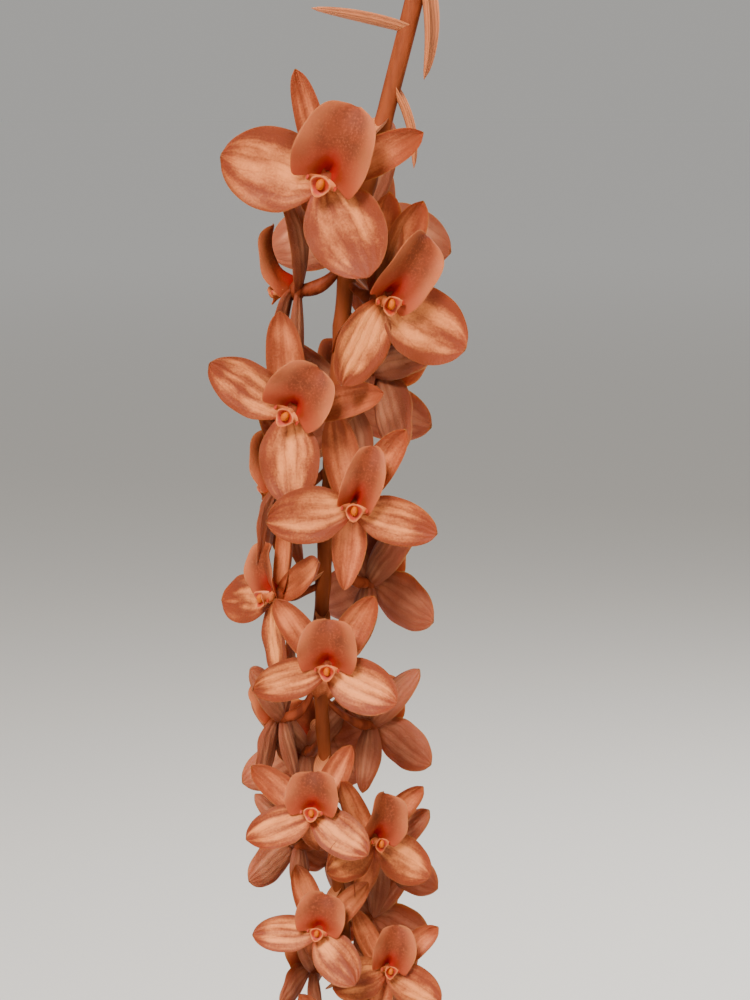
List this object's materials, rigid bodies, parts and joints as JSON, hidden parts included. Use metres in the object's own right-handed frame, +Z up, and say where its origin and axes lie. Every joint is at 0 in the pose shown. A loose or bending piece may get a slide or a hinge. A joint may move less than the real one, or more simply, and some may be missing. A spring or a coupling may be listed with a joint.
{
  "type": "potted orchid",
  "caption": "Potted Dendrochilum orchid in a clay pot: strap leaves on clustered pseudobulbs, and an arching stem with a hanging spray of small salmon flowers.",
  "frame": {"origin": "middle of the pot's flat underside", "axes": "+Z up; -Y towards the viewer of the picture; the flower spray hangs on the -X side"},
  "size_m": [0.3394, 0.3435, 0.3461],
  "materials": {
    "clay": "fired red clay, dry and matt",
    "bark": "rough conifer bark chips",
    "root": "matt buff roots and rhizome",
    "pseudobulb": "ribbed green pseudobulb in old papery sheaths",
    "leaf": "waxy green leaf",
    "sheath": "young green sheath",
    "stem": "thin reddish brown stem and bracts",
    "petal": "translucent salmon petals with darker veins"
  },
  "bodies": {
    "root": {"pot": "clay", "bark": "bark", "rhizome_and_roots": "root", "pseudobulb_1": "pseudobulb", "leaf_1": "leaf", "pseudobulb_2": "pseudobulb", "leaf_2": "leaf", "pseudobulb_3": "pseudobulb", "leaf_3": "leaf", "pseudobulb_4": "pseudobulb", "leaf_4": "leaf", "pseudobulb_5": "pseudobulb", "leaf_5": "leaf", "pseudobulb_6": "pseudobulb", "leaf_6": "leaf", "new_shoot": "sheath", "young_leaf": "leaf", "flower_stem": "stem", "flower_01": "petal", "flower_02": "petal", "flower_03": "petal", "flower_04": "petal", "flower_05": "petal", "flower_06": "petal", "flower_07": "petal", "flower_08": "petal", "flower_09": "petal", "flower_10": "petal", "flower_11": "petal", "flower_12": "petal", "flower_13": "petal", "flower_14": "petal", "flower_15": "petal", "flower_16": "petal", "flower_17": "petal", "flower_18": "petal", "flower_19": "petal", "flower_20": "petal", "flower_21": "petal", "flower_22": "petal", "flower_23": "petal", "flower_24": "petal", "flower_25": "petal", "flower_26": "petal", "flower_27": "petal", "flower_28": "petal", "flower_29": "petal", "flower_30": "petal", "flower_31": "petal", "flower_32": "petal", "flower_33": "petal", "flower_34": "petal", "flower_35": "petal", "flower_36": "petal"}
  },
  "joints": []
}
